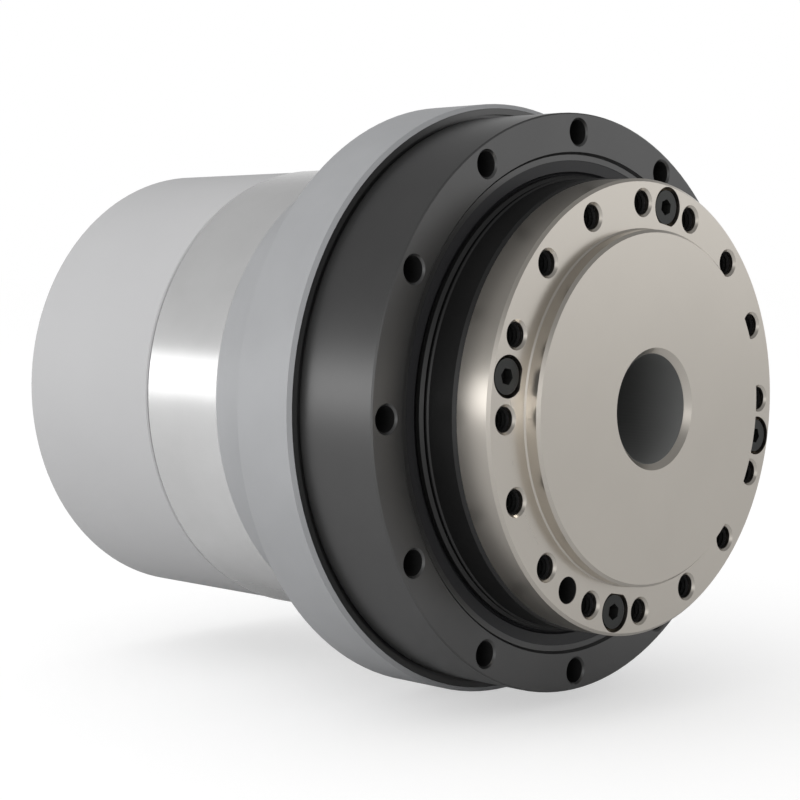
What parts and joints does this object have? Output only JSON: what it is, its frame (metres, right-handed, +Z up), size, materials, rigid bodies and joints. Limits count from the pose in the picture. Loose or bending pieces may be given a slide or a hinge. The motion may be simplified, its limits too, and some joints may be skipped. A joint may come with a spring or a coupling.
{
  "type": "hollow-shaft rotary actuator",
  "caption": "Hollow-shaft rotary joint actuator: strain wave gear, crossed roller output bearing, motor, brake and encoders round one open bore.",
  "frame": {"origin": "on the rotation axis, in the front face of the bearing's outer ring, which is the face that bolts to a frame", "axes": "+X along the rotation axis, out of the output flange; +Z up, through one of the housing's bolt holes; +Y towards the side with the connectors"},
  "size_m": [0.1452, 0.1307, 0.1278],
  "materials": {
    "nickel_plate": "satin nickel plate, fine turned",
    "bearing_black": "black oxide, satin, ground",
    "seal_rubber": "matt moulded rubber",
    "grey_anodised": "grey anodised, fine bead blast",
    "bright_aluminium": "turned bright aluminium",
    "cover_grey": "matt light-grey powder coat",
    "black_screw": "black oxide",
    "plain_steel": "ground steel",
    "lamination": "stacked laminations, varnished",
    "magnet": "nickel-plated magnet",
    "copper": "enamelled copper wire",
    "lining": "moulded friction lining",
    "brass": "turned brass",
    "encoder_glass": "coated encoder disc",
    "board_green": "solder mask",
    "black_plastic": "moulded plastic",
    "gold": "gold-plated contact",
    "connector_nickel": "nickel-plated brass",
    "zinc": "zinc plate"
  },
  "bodies": {
    "housing": {"bearing_outer_ring": "bearing_black", "seal_case": "bearing_black", "output_seal": "seal_rubber", "flexspline": "plain_steel", "wave_outer_race": "plain_steel", "gear_housing": "grey_anodised", "clamp_screws": "black_screw", "shaft_seal": "seal_rubber", "bearing_outer_races": "plain_steel", "stator_sleeve": "bright_aluminium", "sleeve_screws": "black_screw", "stator_core": "lamination", "stator_coils": "copper", "end_shield": "bright_aluminium", "brake_spacers": "brass", "brake_magnet": "zinc", "brake_coil": "copper", "brake_spring": "plain_steel", "brake_bolts": "black_screw", "board_standoffs": "brass", "encoder_board": "board_green", "board_screws": "zinc", "encoder_readers": "black_plastic", "board_parts": "black_plastic", "rear_cover": "cover_grey", "cover_gasket": "seal_rubber", "cover_screws": "black_screw", "receptacles": "connector_nickel", "receptacle_inserts": "black_plastic", "receptacle_pins": "gold", "receptacle_screws": "zinc"},
    "output": {"output_flange": "nickel_plate", "output_screws": "black_screw", "circular_spline": "bearing_black", "bearing_inner_ring": "bearing_black", "spline_screws": "black_screw", "crossed_rollers": "plain_steel", "hollow_tube": "plain_steel", "output_encoder_disc": "encoder_glass"},
    "motor": {"motor_shaft": "plain_steel", "wave_plug": "plain_steel", "wave_inner_race": "plain_steel", "wave_balls": "plain_steel", "plug_screws": "black_screw", "bearing_inner_races": "plain_steel", "bearing_balls": "plain_steel", "rotor_core": "lamination", "rotor_magnets": "magnet", "brake_hub": "plain_steel", "brake_disc": "bright_aluminium", "brake_linings": "lining", "motor_encoder_disc": "encoder_glass"},
    "brake_armature": {"brake_armature": "plain_steel"}
  },
  "joints": [
    {"name": "output_spin", "type": "hinge", "parent": "housing", "child": "output", "pos_m": [0, 0, 0], "axis": [1, 0, 0], "continuous": true},
    {"name": "motor_spin", "type": "hinge", "parent": "housing", "child": "motor", "pos_m": [-0.05, 0, 0], "axis": [1, 0, 0], "continuous": true},
    {"name": "armature_slide", "type": "slide", "parent": "housing", "child": "brake_armature", "axis": [-1, 0, 0], "range_m": [0, 0.00025]}
  ],
  "couplings": [
    {"joint": "motor_spin", "follows": "output_spin", "ratio": 51}
  ]
}
